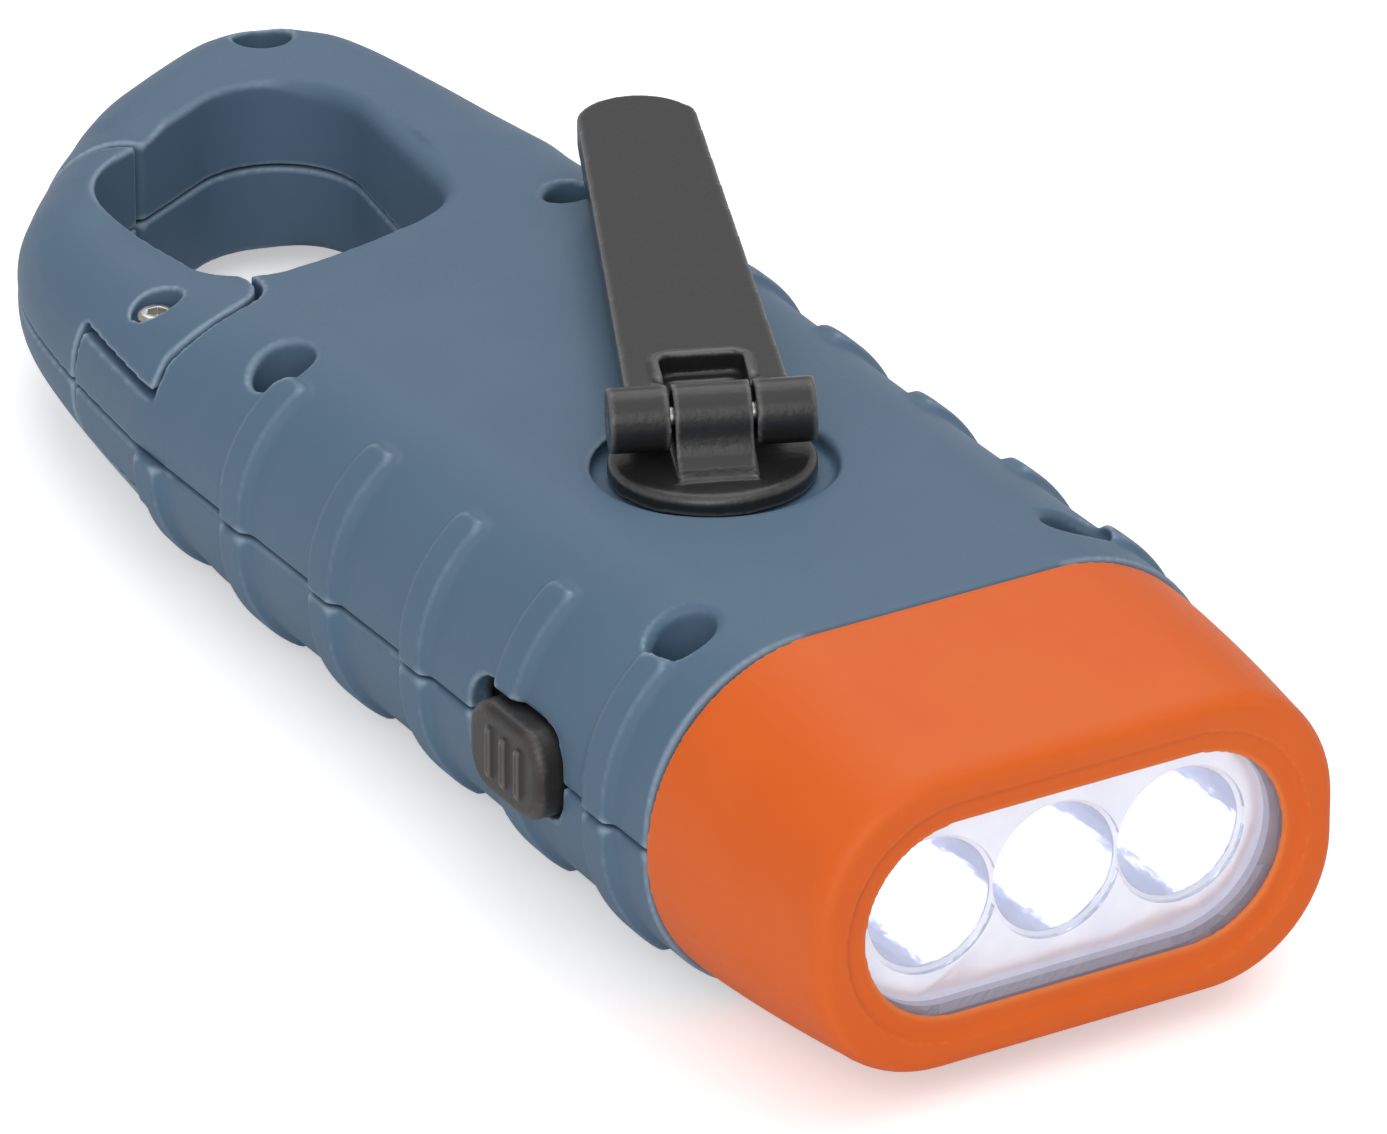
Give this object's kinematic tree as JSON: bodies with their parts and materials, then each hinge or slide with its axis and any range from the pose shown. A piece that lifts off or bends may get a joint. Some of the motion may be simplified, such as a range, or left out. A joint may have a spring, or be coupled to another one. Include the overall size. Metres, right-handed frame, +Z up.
{
  "type": "hand crank flashlight",
  "caption": "Hand crank flashlight with a window over lamps, a folding crank on top, a side slide switch and a snap ring at its tail.",
  "frame": {"origin": "on the surface it lies on, under the middle of its flat underside", "axes": "+X out of the lamp face, +Z up on the crank's side, +Y to the side away from the slide switch"},
  "size_m": [0.1502, 0.0527, 0.0329],
  "materials": {
    "blue_plastic": "moulded slate blue plastic with a fine matt texture",
    "orange_plastic": "moulded orange plastic with a fine matt texture",
    "window_plastic": "clear polished plastic",
    "mirror_plastic": "vacuum plated mirror finish",
    "lamp_resin": "clear lamp domes, lit white",
    "black_plastic": "black plastic with a fine grain",
    "button_plastic": "dark brown-black plastic",
    "black_rubber": "soft seal rubber",
    "steel": "plain bright steel",
    "brass": "turned brass",
    "board": "green lacquered circuit board",
    "gear_plastic": "natural acetal",
    "plate_plastic": "dark glass-filled plastic",
    "cell_steel": "nickel-plated cell cans",
    "copper": "enamelled copper winding",
    "magnet": "dark ferrite magnet"
  },
  "bodies": {
    "housing": {"top_shell": "blue_plastic", "bottom_shell": "blue_plastic", "bezel": "orange_plastic", "lens": "window_plastic", "lens_seal": "black_rubber", "reflector": "mirror_plastic", "leds": "lamp_resin", "led_board": "board", "lamp_pins": "brass", "main_board": "board", "slide_switch": "steel", "battery_cells": "cell_steel", "battery_tabs": "steel", "hub_bush": "brass", "gear_axles": "steel", "gear_plate_top": "plate_plastic", "gear_plate_base": "plate_plastic", "plate_screws": "steel", "motor_can": "steel", "motor_cap": "gear_plastic", "stator_coil": "copper", "gate_spring": "steel", "housing_screws": "steel"},
    "crank": {"crank_hub": "black_plastic", "drive_gear": "gear_plastic", "hub_screw": "steel", "hub_washer": "steel"},
    "arm": {"crank_arm": "black_plastic", "hinge_pin": "steel"},
    "idler_1": {"idler_gear_1": "gear_plastic"},
    "idler_2": {"idler_gear_2": "gear_plastic"},
    "rotor": {"motor_shaft": "steel", "motor_pinion": "brass", "rotor_magnet": "magnet"},
    "gate": {"gate_upper": "blue_plastic", "gate_lower": "blue_plastic", "gate_pivot": "steel"},
    "slider": {"switch_button": "button_plastic"}
  },
  "joints": [
    {"name": "crank_spin", "type": "hinge", "parent": "housing", "child": "crank", "pos_m": [0.00834, -0.0012, 0.02646], "axis": [-0.0839, 0, 0.9965], "continuous": true},
    {"name": "arm_fold", "type": "hinge", "parent": "crank", "child": "arm", "pos_m": [0.00803, -0.0012, 0.03015], "axis": [0.4132, 0.91, 0.0348], "range_deg": [0, 110]},
    {"name": "idler_1_spin", "type": "hinge", "parent": "housing", "child": "idler_1", "pos_m": [-0.00633, -0.0102, 0.01494], "axis": [-0.0839, 0, 0.9965], "continuous": true},
    {"name": "idler_2_spin", "type": "hinge", "parent": "housing", "child": "idler_2", "pos_m": [-0.01928, -0.00541, 0.01184], "axis": [-0.0839, 0, 0.9965], "continuous": true},
    {"name": "rotor_spin", "type": "hinge", "parent": "housing", "child": "rotor", "pos_m": [-0.02642, 0.00483, 0.01124], "axis": [-0.0839, 0, 0.9965], "continuous": true},
    {"name": "gate_swing", "type": "hinge", "parent": "housing", "child": "gate", "pos_m": [-0.0445, -0.0195, 0.01099], "axis": [0.042, 0, -0.9991], "range_deg": [0, 22], "stiffness_Nm_per_rad": 0.05, "springref_deg": -17.19},
    {"name": "switch_slide", "type": "slide", "parent": "housing", "child": "slider", "axis": [-0.9991, 0, -0.042], "range_m": [0, 0.0026]}
  ],
  "couplings": [
    {"joint": "idler_1_spin", "follows": "crank_spin", "ratio": -5},
    {"joint": "idler_2_spin", "follows": "crank_spin", "ratio": 18.333},
    {"joint": "rotor_spin", "follows": "crank_spin", "ratio": -73.333}
  ]
}
